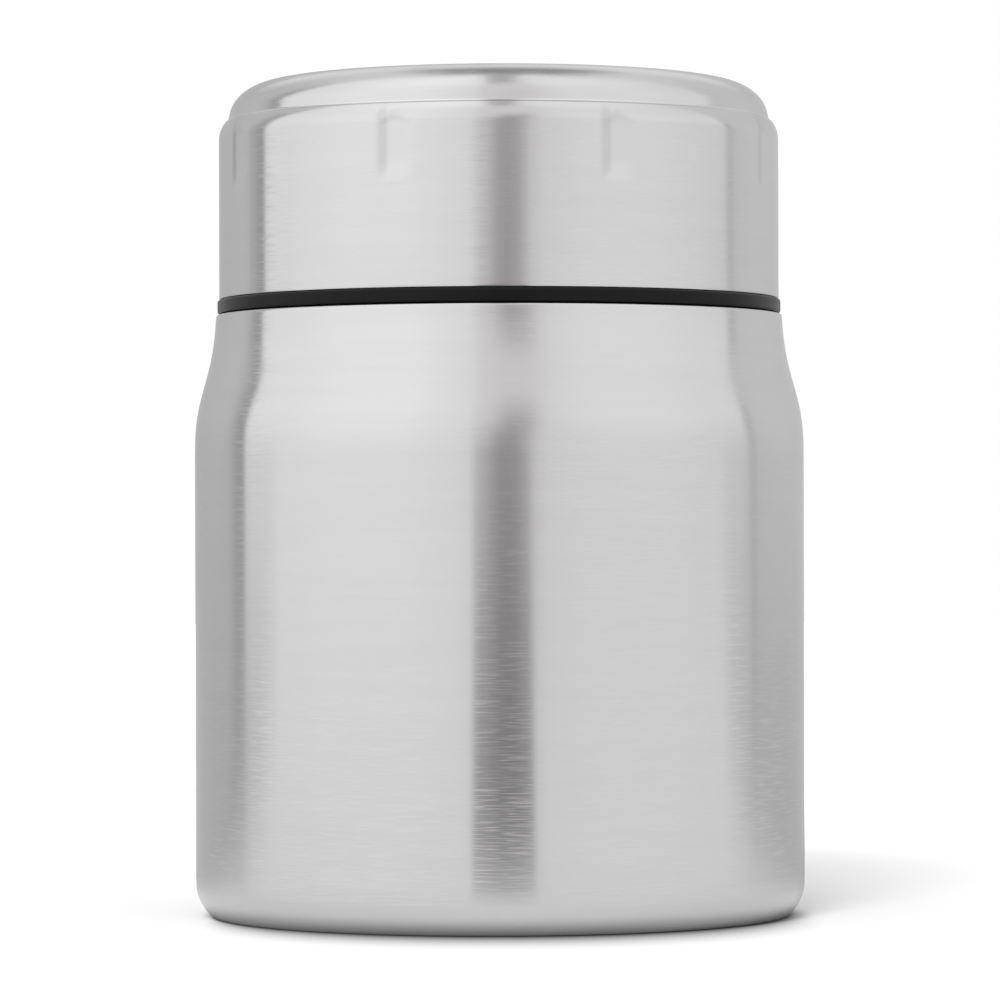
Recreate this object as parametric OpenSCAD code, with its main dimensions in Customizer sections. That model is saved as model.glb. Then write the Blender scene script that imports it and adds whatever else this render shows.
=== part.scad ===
// Insulated food jar: a double-walled steel jar, a screw stopper with a vent button, and a
// screw-on lid that is also a small bowl. Millimetres, +Z up, origin under the middle of the base.

/* [Jar] */
// Outer diameter of the jar's side
jar_d = 100; // [88:0.5:115]
// Height of the jar's shoulder above the table
jar_h = 98.3; // [84:0.1:140]
// Thickness of every steel sheet of the jar
steel_t = 0.6; // [0.4:0.1:0.7]
// Radius of the corner between side and base
base_corner = 5; // [3:0.5:6]
// How far the shoulder's top edge stands in from the side
shoulder_in = 3.55; // [3:0.05:5]
// Height over which the side draws in to the shoulder
shoulder_h = 16.7; // [15:0.1:20]
// Height of the nearly upright collar at the top of the shoulder
collar_h = 6.3; // [6:0.1:8]
// Radius of the convex bend where the side starts to draw in
shoulder_bend = 26.7; // [15:0.5:28]
// Radius of the hollow bend under the collar
collar_bend = 35.4; // [20:0.5:36]
// Rounding of the shoulder's top edge
shoulder_edge = 0.7; // [0.5:0.1:1.2]
// Radius of the fillet between shoulder and neck
neck_fillet = 0.9; // [0.5:0.1:1.1]
// Width of the vacuum jacket between the two walls
vacuum_gap = 3; // [2.5:0.1:4]
// Height of the space between the vessel's floor and the base pan
floor_gap = 4.2; // [3.8:0.1:6]
// Radius of the corner between the vessel's side and its floor
vessel_corner = 9; // [6:0.5:12]
// Height of the jar's shoulder start above the vessel's own
vessel_drop = 4; // [3:0.5:6]
// Radius of the bend where the vessel starts to draw in
vessel_bend = 12; // [8:0.5:13]
// Radius of the bend from that slope to the throat
throat_bend = 6; // [4:0.5:8]
// Height of the upright throat under the seal ledge
throat_h = 8; // [7:0.5:9]

/* [Base] */
// Width of the flat foot ring
foot_w = 4.4; // [3:0.1:6]
// Radius of the foot ring's inner corner
foot_round = 1; // [0.8:0.1:1.4]
// Width of the shell's edge that is turned in above the foot, under the base pan
lap_w = 5; // [3:0.5:7]
// How far the base disc lies above the table
base_recess = 1.8; // [1.2:0.1:2.4]
// Thickness of the base disc
disc_t = 0.6; // [0.4:0.1:0.8]
// Diameter of the dimple around the evacuation hole
dimple_d = 12; // [9:0.5:14]
// Height of that dimple
dimple_h = 1.6; // [1.2:0.1:2]
// Diameter of the evacuation hole
evac_d = 2.4; // [1.6:0.1:3]
// Diameter of the seal that closes it
seal_bead_d = 6; // [4.5:0.1:7]
// Diameter of the getter pellet
getter_d = 8; // [6:0.5:9]
// Height of the getter pellet
getter_h = 1.4; // [1:0.1:1.8]
// Distance of the getter from the jar's axis
getter_out = 18; // [15:0.5:24]
// Width of the strap that holds the getter
strap_w = 3; // [2:0.5:4]
// Thickness of that strap
strap_t = 0.4; // [0.3:0.1:0.5]
// Length of each welded foot of that strap
strap_foot = 2.5; // [1.5:0.1:3]
// Thickness of the radiation foil
foil_t = 0.2; // [0.1:0.05:0.3]
// Distance that the foil keeps from both ends of the vessel's straight side
foil_margin = 4; // [1:0.5:8]

/* [Neck] */
// Height of the neck above the shoulder
neck_h = 14.2; // [13.8:0.1:16]
// Width of the rolled lip between the outer and the inner wall
lip_w = 3.4; // [3:0.1:3.8]
// How far the throat under the stopper's seal stands in from the neck's bore
throat_step = 4.4; // [4:0.1:5]
// Depth of the seal ledge below the lip
ledge_depth = 16.5; // [16:0.1:17]

/* [Lid] */
// How far the black flange under the lid stands in from the shoulder's edge
flange_in = 0.2; // [0:0.05:0.6]
// Height of that flange
flange_h = 2.45; // [2:0.05:3.2]
// How far the steel cup stands in from the flange
cup_inset = 0.3; // [0.2:0.05:0.6]
// Height of the steel cup
cup_h = 35.6; // [35:0.1:42]
// Thickness of the cup's steel
cup_t = 0.7; // [0.5:0.1:0.9]
// Radius of the cup's shoulder
cup_shoulder_r = 5.2; // [4:0.1:6]
// How far that shoulder turns in below the step, in degrees
cup_shoulder_turn = 37.5; // [30:0.5:42]
// Height from the step under the crown to the top
crown_h = 6.5; // [5.5:0.1:7.5]
// How far the crown stands in from the cup's side
crown_inset = 1.7; // [1.5:0.1:2]
// Width of the crown's rounding
crown_round_w = 7.8; // [6:0.1:12]
// Height of the upright band between the step and the crown's rounding
crown_band = 0.4; // [0.1:0.1:1]
// Number of grip flutes round the lid
flute_count = 8; // [6:1:12]
// Radius of a flute's section
flute_r = 4.8; // [4:0.1:5.5]
// Height of a flute
flute_h = 11; // [9:0.5:13]
// Distance of a flute's top from the step under the crown
flute_drop = 0.6; // [0.2:0.1:2]
// Rounding of a flute's top
flute_top_round = 2; // [1:0.1:3]
// Rounding of a flute's foot
flute_foot_round = 6; // [4:0.5:8]
// Depth of a flute near its top
flute_depth = 0.9; // [0.5:0.1:1]
// Depth of a flute near its foot
flute_foot_depth = 0.35; // [0.2:0.05:0.5]
// Turn of the first flute from the side that faces -Y
flute_turn = 24.5; // [0:0.5:44]
// Wall of the lid's plastic liner, and of its ceiling
liner_t = 1.7; // [1.4:0.1:2]
// Wall of the liner behind its thread
liner_wall = 2.4; // [2.2:0.1:3]
// Radius of the liner's upper outer corner
liner_corner = 5; // [4:0.5:6]
// Thickness of the foam between the liner's ceiling and the crown
lid_foam_t = 4; // [3:0.1:5]
// Width of the lid's gasket
gasket_w = 1.5; // [1.2:0.1:1.6]
// Height of the lid's gasket
gasket_h = 1.5; // [1.2:0.1:1.8]

/* [Threads] */
// Pitch of the lid's thread between neighbouring starts
lid_pitch = 5; // [4.6:0.1:5.4]
// Pitch of the stopper's thread between neighbouring starts
stopper_pitch = 4; // [3.8:0.1:4.2]
// Number of starts of each thread
starts = 2; // [2:1:3]
// Depth of each thread
thread_h = 1.2; // [1:0.05:1.25]
// Radial clearance between a crest and the wall that it faces
crest_clear = 0.35; // [0.3:0.05:0.45]
// Clearance between two flanks, along the axis
flank_clear = 0.4; // [0.3:0.05:0.6]

/* [Stopper] */
// Thickness of the stopper's flange
stopper_flange_t = 1.8; // [1.4:0.1:2.2]
// Wall of the stopper's body
stopper_wall = 1.6; // [1.4:0.1:2]
// Thickness of the stopper's bottom
stopper_bottom_t = 1.8; // [1.4:0.1:2]
// How far the lip that holds the seal ring stands out
seal_lip_w = 0.8; // [0.6:0.1:0.9]
// Height of that lip
seal_lip_h = 0.5; // [0.4:0.1:0.7]
// Height of the stopper's grip rim above the flange
grip_h = 6; // [5:0.1:6.4]
// Width of the grip rim
grip_w = 4.6; // [4:0.1:6]
// Number of finger notches in the grip rim
notch_count = 30; // [20:1:36]
// Radius of a finger notch
notch_r = 2; // [1.5:0.1:2.4]
// Depth of a finger notch
notch_depth = 0.8; // [0.4:0.1:1]
// Height of the stopper's seal ring
seal_h = 2.2; // [1.8:0.1:2.6]
// Thickness of the stopper's cover
cap_t = 1.8; // [1.4:0.1:2]
// Width of the rib under the cover that centres it in the body
cap_rib_w = 1.6; // [1.2:0.1:2]
// Height of that rib
cap_rib_h = 1.2; // [0.8:0.1:1.4]
// Height of the collar round the vent button
boss_h = 3.9; // [3:0.1:4.4]
// Wall of that collar
boss_w = 2.2; // [1.6:0.1:3]

/* [Vent] */
// Diameter of the vent button
button_d = 16; // [14:0.5:18]
// Thickness of the button's head
button_t = 3; // [2.4:0.1:3.4]
// Width of the raised rim of the button's head
button_rim_w = 1.8; // [1.4:0.1:2.4]
// Depth of the dish inside that rim
button_dish = 0.6; // [0.4:0.1:0.8]
// Travel of the button
button_travel = 2.5; // [1.5:0.1:2.6]
// Diameter of the button's guide
guide_d = 10.4; // [9.5:0.1:11.5]
// Wall of the tube that guides it
guide_wall = 1.5; // [1.2:0.1:2]
// Height of the guide under the button's head
guide_h = 7.5; // [6.5:0.1:8]
// Diameter of the vent stem
stem_d = 4.8; // [4:0.1:5]
// Depth of the stem's seat in the button
stem_seat = 6; // [4:0.5:6.5]
// Depth of the groove for the retainer
stem_groove = 0.6; // [0.4:0.1:0.8]
// Wire diameter of the vent spring
wire_d = 0.7; // [0.5:0.05:0.8]
// Number of coils of the vent spring, with the closed one at each end
coils = 6; // [5:0.5:7]
// Diameter of the vent valve
valve_d = 12; // [10:0.5:13]
// Thickness of the vent valve
valve_t = 2; // [1.6:0.1:2.4]
// Thickness of the retainer that holds the valve
retainer_t = 0.7; // [0.5:0.1:0.9]

/* [Hidden] */
$fn = 144;
arc_step = 4;        // turn between two points of a rounded corner, in degrees
small = 0.3;         // clearance between pieces that only lie near each other
snug = 0.1;          // clearance between pieces that are pushed together
lip_clear = 0.8;     // clearance above the neck's lip inside the liner
flute_clear = 0.45;  // clearance between the liner and the inside of a flute
sunk = 0.3;          // how deep a thread's root reaches into its wall
past = 1;            // how far a cut runs past the face that it opens

// Radii, from the side inwards: the shoulder carries the lid, the lid fits the neck, and the
// neck fits the stopper.
jar_r = jar_d / 2;
shoulder_r = jar_r - shoulder_in;
collar_lean = 0.45;                   // the collar under the shoulder's edge leans in by this
collar_r = shoulder_r + collar_lean;
flange_r = shoulder_r - flange_in;
cup_r = flange_r - cup_inset;
liner_out_r = cup_r - cup_t - snug;
thread_root_r = liner_out_r - liner_wall;
neck_r = thread_root_r - crest_clear - thread_h;
bore_r = neck_r - lip_w;
throat_r = bore_r - throat_step;

lip_z = jar_h + neck_h;
lip_round = lip_w / 2;
ledge_z = lip_z - ledge_depth;

foot_out_r = jar_r - base_corner;
foot_in_r = foot_out_r - foot_w;
lap_z = base_recess + disc_t;         // underside of the shell's turned-in edge
lap_in_r = foot_in_r - lap_w;
lap_bend = steel_t;                   // radius under the bend of that edge
disc_r = foot_in_r - lap_bend - snug;
pan_z = lap_z + steel_t;              // underside of the base pan
pan_r = foot_in_r - small;
floor_z = pan_z + steel_t + floor_gap;

flange_z = jar_h + small;             // underside of the flange
cup_z = flange_z + flange_h;
cup_top = cup_z + cup_h;
step_z = cup_top - crown_h;
step_rise = 0.2;                      // the step itself rises a little towards the crown
crown_r = cup_r - crown_inset;        // outside of the crown just above the step
crown_round_h = crown_h - step_rise - crown_band;
cup_side_z = step_z - cup_shoulder_r * sin(cup_shoulder_turn);

lid_foam_top = cup_top - cup_t - small;
liner_top = lid_foam_top - lid_foam_t;
ceiling_z = liner_top - liner_t;      // inside of the liner's ceiling
liner_step_z = lip_z + lip_clear;
upper_out_r = cup_r - cup_t - flute_depth - flute_clear;
groove_wall = 0.75;                   // web between the liner's thread and the gasket's groove
groove_in_r = thread_root_r + groove_wall;

body_r = bore_r - thread_h - crest_clear;
seal_z = ledge_z + seal_h;            // top of the stopper's seal ring
throat_clear = 0.5;                   // between the throat and the lip under the seal ring
spigot_r = throat_r - throat_clear - seal_lip_w;
stopper_z = ledge_z - small - seal_lip_h;
rim_z = lip_z + small;                // underside of the stopper's flange
deck_z = rim_z + stopper_flange_t;    // top of the stopper's flange
flange_margin = 1.8;                  // the flange stops short of the neck's outer face
flange_out_r = neck_r - flange_margin;
cap_margin = 0.2;                     // and the cover stops short of the flange's edge
cap_r = flange_out_r - cap_margin;
cap_rib_r = body_r - stopper_wall - small;
cap_rib_in_r = cap_rib_r - cap_rib_w;
cap_rib_z = deck_z - cap_rib_h;

guide_r = guide_d / 2;
chamber_r = guide_r + small;
tube_r = chamber_r + guide_wall;
tube_top = deck_z - small;
stem_r = stem_d / 2;
button_r = button_d / 2;
press_clear = 0.4;                    // what is left under the button's head once it is pressed
head_z = deck_z + press_clear + button_travel;
hub_z = head_z - guide_h;             // foot of the button's guide
spring_z = stopper_z + stopper_bottom_t + small + wire_d / 2;
spring_top = hub_z - small - wire_d / 2;
coil_r = (stem_r + chamber_r) / 2;    // the coils run midway between stem and tube
valve_z = stopper_z - valve_t;
retainer_z = valve_z - retainer_t;
stem_nose = 1;                        // length of the stem past its retainer
stem_foot = retainer_z - stem_nose;

// Rounded outlines. A corner is [r, z, radius]. Where two fillets don't both fit on the stretch
// between them, both are made smaller.
function unit(v) = v / norm(v);
function flat(c) = [c[0], c[1]];
function turning(a, b) = atan2(a[0] * b[1] - a[1] * b[0], a * b);
function rounds(c, i) = len(c[i]) == 3 && i > 0 && i < len(c) - 1;
function reach(c, i) = !rounds(c, i) ? 0 :
    c[i][2] * tan(abs(turning(flat(c[i]) - flat(c[i - 1]), flat(c[i + 1]) - flat(c[i]))) / 2);
function fit(c, i) = let (room = norm(flat(c[i + 1]) - flat(c[i])))
    room / max(room, reach(c, i) + reach(c, i + 1));
function bend(before, corner, after, radius) =
    let (
        p = flat(before), q = flat(corner), s = flat(after),
        back = unit(p - q), ahead = unit(s - q),
        half = acos(back * ahead) / 2,
        centre = q + unit(back + ahead) * radius / sin(half),
        start = q + back * radius / tan(half) - centre,
        first = atan2(start[1], start[0]),
        sweep = turning(q - p, s - q),
        count = max(1, ceil(abs(sweep) / arc_step))
    )
    [for (i = [0:count]) let (a = first + sweep * i / count) centre + radius * [cos(a), sin(a)]];
function rounded(c) = [
    for (i = [0:len(c) - 1])
        each !rounds(c, i) ? [flat(c[i])] :
            bend(c[i - 1], c[i], c[i + 1], c[i][2] * min(fit(c, i - 1), fit(c, i)))
];

// The same outline moved sideways by t, to its left as it runs.
function left_of(a, b) = let (d = unit(b - a)) [-d[1], d[0]];
function beside(path, t) = let (last = len(path) - 1) [
    for (i = [0:last])
        let (
            before = left_of(path[max(i - 1, 0)], path[max(i, 1)]),
            after = left_of(path[min(i, last - 1)], path[min(i + 1, last)])
        )
        path[i] + t * (before + after) / (1 + before * after)
];
function reversed(path) = [for (i = [len(path) - 1:-1:0]) path[i]];
function quarter_ellipse(centre, w, h) =
    [for (a = [0:arc_step:90]) centre + [w * cos(a), h * sin(a)]];

// A wall of sheet metal, turned about the axis.
module turned_sheet(path, t) {
    rotate_extrude() polygon(concat(path, reversed(beside(path, t))));
}

module ring(inner, outer, low, high) {
    translate([0, 0, low]) difference() {
        cylinder(r = outer, h = high - low);
        translate([0, 0, -past]) cylinder(r = inner, h = high - low + 2 * past);
    }
}

// Threads. A ridge runs from the wall to its crest and climbs by one pitch for each start in a
// turn. Its middle is at z = rise_from at angle 0, and it fades out at both ends of its run.
thread_step = 6;     // turn between two sections, in degrees
fade = 18;           // turn over which a ridge fades out, in degrees
blunt = 2;           // turn that the fade starts ahead of the ridge's end, in degrees
flank_slope = 0.7;
function section(root, crest, z, pitch, share) =
    let (
        top = root + (crest - root) * share,
        middle = pitch / 4 - flank_clear / 2,
        wide = middle + flank_slope * (thread_h + 2 * sunk) / 2,
        thin = wide - flank_slope * abs(top - root)
    )
    [[root, z - wide], [top, z - thin], [top, z + thin], [root, z + wide]];
module thread(wall, crest, pitch, rise_from, run) {
    first = run[0];
    last = run[1];
    side = sign(crest - wall);
    root = wall - side * sunk;
    count = ceil((last - first) / thread_step);
    rings = [
        for (i = [0:count])
            let (
                a = first + (last - first) * i / count,
                share = min(1, (a - first + blunt) / fade, (last - a + blunt) / fade),
                s = section(root, crest, rise_from + pitch * starts * a / 360, pitch, share)
            )
            [for (p = s) [p[0] * cos(a), p[0] * sin(a), p[1]]]
    ];
    points = [for (r = rings) for (p = r) p];
    skin = [
        for (i = [0:count - 1]) for (k = [0:3])
            let (a = 4 * i + k, b = 4 * i + (k + 1) % 4)
            each side > 0 ? [[a, b, b + 4], [a, b + 4, a + 4]] : [[a, b + 4, b], [a, a + 4, b + 4]]
    ];
    near = [[0, 3, 2], [0, 2, 1]];
    far = [for (t = near) [for (k = reversed(t)) 4 * count + k]];
    ends = concat(near, far);
    faces = concat(skin, side > 0 ? ends : [for (t = ends) reversed(t)]);
    for (s = [0:starts - 1]) rotate(s * 360 / starts) polyhedron(points, faces);
}

// Outline of the jar's outside, from the turned-in edge of the base to the weld under the lip.
neck_top = lip_z - lip_round;
weld_z = neck_top - steel_t;
outside = rounded([
    [lap_in_r, lap_z],
    [foot_in_r, lap_z, lap_bend],
    [foot_in_r, 0, foot_round],
    [jar_r, 0, base_corner],
    [jar_r, jar_h - shoulder_h, shoulder_bend],
    [collar_r, jar_h - collar_h, collar_bend],
    [shoulder_r, jar_h, shoulder_edge],
    [neck_r, jar_h, neck_fillet],
    [neck_r, weld_z]
]);

// Outline of the vessel's outer face, from the middle of its floor, over the lip, to the weld.
vessel_r = jar_r - steel_t - vacuum_gap;
vessel_side_z = jar_h - shoulder_h - vessel_drop;
ledge_bend = 0.6;
bore_bend = 1;
lip_bend = lip_round - steel_t - 0.05; // a little under half the lip's width, so that its arcs stay apart
vessel_outside = rounded([
    [0, floor_z],
    [vessel_r, floor_z, vessel_corner],
    [vessel_r, vessel_side_z, vessel_bend],
    [throat_r + steel_t, ledge_z - throat_h, throat_bend],
    [throat_r + steel_t, ledge_z - steel_t, ledge_bend],
    [bore_r + steel_t, ledge_z - steel_t, bore_bend],
    [bore_r + steel_t, lip_z - steel_t, lip_bend],
    [neck_r - steel_t, lip_z - steel_t, lip_bend],
    [neck_r - steel_t, weld_z]
]);

// Heights of the two threads' middles at angle 0, and the angles between which each ridge runs.
lid_thread_z = jar_h + 3.3;
neck_ridge = [0, 216];
liner_ridge = [110, 254];
stopper_thread_z = ledge_z + 4.4;
bore_ridge = [40, 170];
stopper_ridge = [90, 200];

module outer_shell() {
    color("silver") union() {
        turned_sheet(outside, steel_t);
        thread(neck_r, neck_r + thread_h, lid_pitch, lid_thread_z, neck_ridge);
    }
}

module inner_vessel() {
    color("gainsboro") union() {
        turned_sheet(vessel_outside, steel_t);
        thread(bore_r, bore_r - thread_h, stopper_pitch, stopper_thread_z, bore_ridge);
    }
}

pan_top = pan_z + steel_t;
dimple_z = pan_z + dimple_h;
module base_pan() {
    dimple_r = dimple_d / 2;
    evac_r = evac_d / 2;
    color("lightgray") rotate_extrude() polygon([
        [evac_r, dimple_z],
        [dimple_r - steel_t, dimple_z],
        [dimple_r, pan_z],
        [pan_r, pan_z],
        [pan_r, pan_top],
        [dimple_r + steel_t / 2, pan_top],
        [dimple_r - steel_t / 2, dimple_z + steel_t],
        [evac_r, dimple_z + steel_t]
    ]);
}

module base_disc() {
    color("silver") translate([0, 0, base_recess]) cylinder(r = disc_r, h = disc_t);
}

module vacuum_seal() {
    bead_h = dimple_h - small;
    color("darkslategray") translate([0, 0, dimple_z]) union() {
        translate([0, 0, -bead_h / 2]) cylinder(d = seal_bead_d, h = bead_h / 2);
        translate([0, 0, -bead_h])
            cylinder(d1 = seal_bead_d - bead_h, d2 = seal_bead_d, h = bead_h / 2);
        cylinder(d = evac_d - 2 * snug, h = steel_t);
    }
}

module getter() {
    color("dimgray") translate([getter_out, 0, pan_top]) cylinder(d = getter_d, h = getter_h);
}

module getter_strap() {
    inner = getter_d / 2 + snug;
    outer = inner + strap_t;
    end = outer + strap_foot;
    half = [
        [end, strap_t], [outer, strap_t], [outer, getter_h + strap_t],
        [-outer, getter_h + strap_t], [-outer, strap_t], [-end, strap_t],
        [-end, 0], [-inner, 0], [-inner, getter_h], [inner, getter_h], [inner, 0], [end, 0]
    ];
    color("lightgray") translate([getter_out, strap_w / 2, pan_top]) rotate([90, 0, 0])
        linear_extrude(strap_w) polygon(half);
}

module radiation_foil() {
    inner = vessel_r + small;
    color("peru") ring(
        inner, inner + foil_t, floor_z + vessel_corner, vessel_side_z - foil_margin
    );
}

// The steel cup of the lid. grow is 0 for its outside and -cup_t for its inside.
module cup_solid(grow) {
    round_r = cup_shoulder_r + grow;
    count = ceil(cup_shoulder_turn / arc_step);
    shoulder = [
        for (i = [0:count])
            let (a = cup_shoulder_turn * i / count)
            [cup_r - cup_shoulder_r + round_r * cos(a), cup_side_z + round_r * sin(a)]
    ];
    crown = quarter_ellipse(
        [crown_r - crown_round_w, cup_top - crown_round_h],
        crown_round_w + grow, crown_round_h + grow
    );
    low = grow == 0 ? cup_z : cup_z - past;
    rotate_extrude() polygon(concat(
        [[0, low], [cup_r + grow, low]], shoulder,
        [[crown_r + grow, step_z + step_rise + grow / 4]], crown, [[0, cup_top + grow]]
    ));
}

// The tools that press the flutes: rods with rounded ends, leaning out towards the foot.
module flutes(grow) {
    high = step_z - flute_drop - flute_top_round;
    ends = 3.4;    // how much of the height the rounded ends cut
    straight = flute_h - ends;
    lean = atan((flute_depth - flute_foot_depth) / straight);
    rod_r = flute_r + grow;
    top_h = flute_top_round + grow;
    foot_h = flute_foot_round + grow;
    profile = concat(
        [[0, -straight - foot_h]],
        [for (a = [-90 + arc_step:arc_step:0]) [rod_r * cos(a), -straight + foot_h * sin(a)]],
        [for (a = [0:arc_step:90 - arc_step]) [rod_r * cos(a), top_h * sin(a)]],
        [[0, top_h]]
    );
    for (i = [0:flute_count - 1])
        rotate(flute_turn - 90 + i * 360 / flute_count)
            translate([cup_r + flute_r - flute_depth, 0, high])
                rotate([0, -lean, 0]) rotate_extrude() polygon(profile);
}

module lid_cup() {
    color("silver") difference() {
        difference() {
            cup_solid(0);
            flutes(0);
        }
        difference() {
            cup_solid(-cup_t);
            flutes(cup_t);
        }
    }
}

gasket_in_r = groove_in_r + snug;
gasket_r = gasket_in_r + gasket_w;
module lid_liner() {
    flange_edge = 0.25;
    step_round = 1;
    step_fillet = 0.5;
    inner_r = upper_out_r - liner_t;
    groove_r = gasket_r + snug;
    groove_z = jar_h + gasket_h + snug;
    color("#1c1c1e") union() {
        rotate_extrude() polygon(rounded([
            [thread_root_r, flange_z],
            [groove_in_r, flange_z],
            [groove_in_r, groove_z],
            [groove_r, groove_z],
            [groove_r, flange_z],
            [flange_r, flange_z, flange_edge],
            [flange_r, cup_z, flange_edge],
            [liner_out_r, cup_z],
            [liner_out_r, liner_step_z + liner_t, step_round],
            [upper_out_r, liner_step_z + liner_t, step_fillet],
            [upper_out_r, liner_top, liner_corner],
            [0, liner_top],
            [0, ceiling_z],
            [inner_r, ceiling_z, liner_corner - liner_t],
            [inner_r, liner_step_z],
            [thread_root_r, liner_step_z]
        ]));
        thread(thread_root_r, neck_r + crest_clear, lid_pitch, lid_thread_z - lid_pitch / 2,
            liner_ridge);
    }
}

module lid_insulation() {
    color("ivory") translate([0, 0, liner_top])
        cylinder(r = crown_r - crown_round_w, h = lid_foam_t);
}

module lid_gasket() {
    color("dimgray") ring(gasket_in_r, gasket_r, jar_h, jar_h + gasket_h);
}

shelf_z = seal_z + stopper_wall;      // top of the step above the seal ring, inside the stopper
module stopper_body() {
    inner_r = body_r - stopper_wall;
    floor_top = stopper_z + stopper_bottom_t;
    hole_r = stem_r + small;
    color("#2a2a2c") union() {
        rotate_extrude() polygon([
            [hole_r, stopper_z],
            [spigot_r + seal_lip_w, stopper_z],
            [spigot_r + seal_lip_w, ledge_z - small],
            [spigot_r, ledge_z - small],
            [spigot_r, seal_z],
            [body_r, seal_z],
            [body_r, rim_z],
            [flange_out_r, rim_z],
            [flange_out_r, deck_z],
            [inner_r, deck_z],
            [inner_r, shelf_z],
            [spigot_r - stopper_wall, shelf_z],
            [spigot_r - stopper_wall, floor_top],
            [tube_r, floor_top],
            [tube_r, tube_top],
            [chamber_r, tube_top],
            [chamber_r, floor_top],
            [hole_r, floor_top]
        ]);
        thread(body_r, body_r + thread_h, stopper_pitch, stopper_thread_z - stopper_pitch / 2,
            stopper_ridge);
    }
}

module stopper_cap() {
    rim_round = 1.2;
    rim_fillet = 1.5;
    boss_round = 0.6;
    boss_fillet = 1;
    well_r = button_r + small;
    boss_r = well_r + boss_w;
    grip_in_r = cap_r - grip_w;
    cap_z = deck_z + cap_t;
    color("#3a3a3d") difference() {
        rotate_extrude() polygon(rounded([
            [well_r, deck_z],
            [cap_rib_in_r, deck_z],
            [cap_rib_in_r, cap_rib_z],
            [cap_rib_r, cap_rib_z],
            [cap_rib_r, deck_z],
            [cap_r, deck_z],
            [cap_r, deck_z + grip_h, rim_round],
            [grip_in_r, deck_z + grip_h, rim_round],
            [grip_in_r, cap_z, rim_fillet],
            [boss_r, cap_z, boss_fillet],
            [boss_r, deck_z + boss_h, boss_round],
            [well_r, deck_z + boss_h]
        ]));
        for (i = [0:notch_count - 1])
            rotate(i * 360 / notch_count)
                translate([cap_r + notch_r - notch_depth, 0, deck_z - past])
                    cylinder(r = notch_r, h = grip_h + 2 * past, $fn = 48);
    }
}

module stopper_insulation() {
    color("ivory") ring(tube_r + small, cap_rib_in_r - small, shelf_z, cap_rib_z - small);
}

module stopper_gasket() {
    color("gainsboro") ring(spigot_r + small, body_r, ledge_z, seal_z);
}

module vent_button() {
    edge_round = 0.8;
    dish_round = 0.6;
    top = head_z + button_t;
    dish_r = button_r - button_rim_w - dish_round;
    color("#6b6d70") difference() {
        rotate_extrude() polygon(rounded([
            [0, hub_z],
            [guide_r, hub_z],
            [guide_r, head_z],
            [button_r, head_z],
            [button_r, top, edge_round],
            [button_r - button_rim_w, top, dish_round],
            [dish_r, top - button_dish, dish_round],
            [0, top - button_dish]
        ]));
        translate([0, 0, hub_z - past]) cylinder(r = stem_r + snug / 2, h = stem_seat + past);
    }
}

module vent_stem() {
    chamfer = 0.4;
    groove_r = stem_r - stem_groove;
    top = hub_z + stem_seat - snug;
    color("silver") rotate_extrude() polygon([
        [0, stem_foot],
        [stem_r - chamfer, stem_foot],
        [stem_r, stem_foot + chamfer],
        [stem_r, retainer_z],
        [groove_r, retainer_z],
        [groove_r, valve_z],
        [stem_r, valve_z],
        [stem_r, top],
        [0, top]
    ]);
}

// The spring is a tube of eight sides along its coils. The first and last coil lie closed.
closed_rise = 1.1 * wire_d;
spring_climb = spring_top - spring_z;
function spring_rise(turn) =
    turn < 1 ? closed_rise * turn :
    turn > coils - 1 ? spring_climb - closed_rise * (coils - turn) :
    closed_rise + (spring_climb - 2 * closed_rise) * (turn - 1) / (coils - 2);
module vent_spring() {
    per_turn = 18;
    sides = 8;
    count = round(coils * per_turn);
    points = [
        for (i = [0:count]) for (k = [0:sides - 1])
            let (
                a = 360 * i / per_turn, b = 360 * k / sides,
                r = coil_r + wire_d / 2 * cos(b),
                z = spring_z + spring_rise(i / per_turn) + wire_d / 2 * sin(b)
            )
            [r * cos(a), r * sin(a), z]
    ];
    skin = [
        for (i = [0:count - 1]) for (k = [0:sides - 1])
            let (a = sides * i + k, b = sides * i + (k + 1) % sides)
            each [[a, b, b + sides], [a, b + sides, a + sides]]
    ];
    near = [for (k = [1:sides - 2]) [0, k + 1, k]];
    far = [for (t = near) [for (k = reversed(t)) sides * count + k]];
    color("silver") polyhedron(points, concat(skin, near, far));
}

module vent_valve() {
    color("whitesmoke") ring(stem_r + snug, valve_d / 2, valve_z, stopper_z);
}

module vent_retainer() {
    margin = 1.2;    // the valve's edge stays free of the retainer
    color("silver")
        ring(stem_r - stem_groove + snug / 2, valve_d / 2 - margin, retainer_z, valve_z);
}

outer_shell();
inner_vessel();
base_pan();
base_disc();
vacuum_seal();
getter();
getter_strap();
radiation_foil();
lid_cup();
lid_liner();
lid_insulation();
lid_gasket();
stopper_body();
stopper_cap();
stopper_insulation();
stopper_gasket();
vent_button();
vent_stem();
vent_spring();
vent_valve();
vent_retainer();
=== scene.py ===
import math

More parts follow.
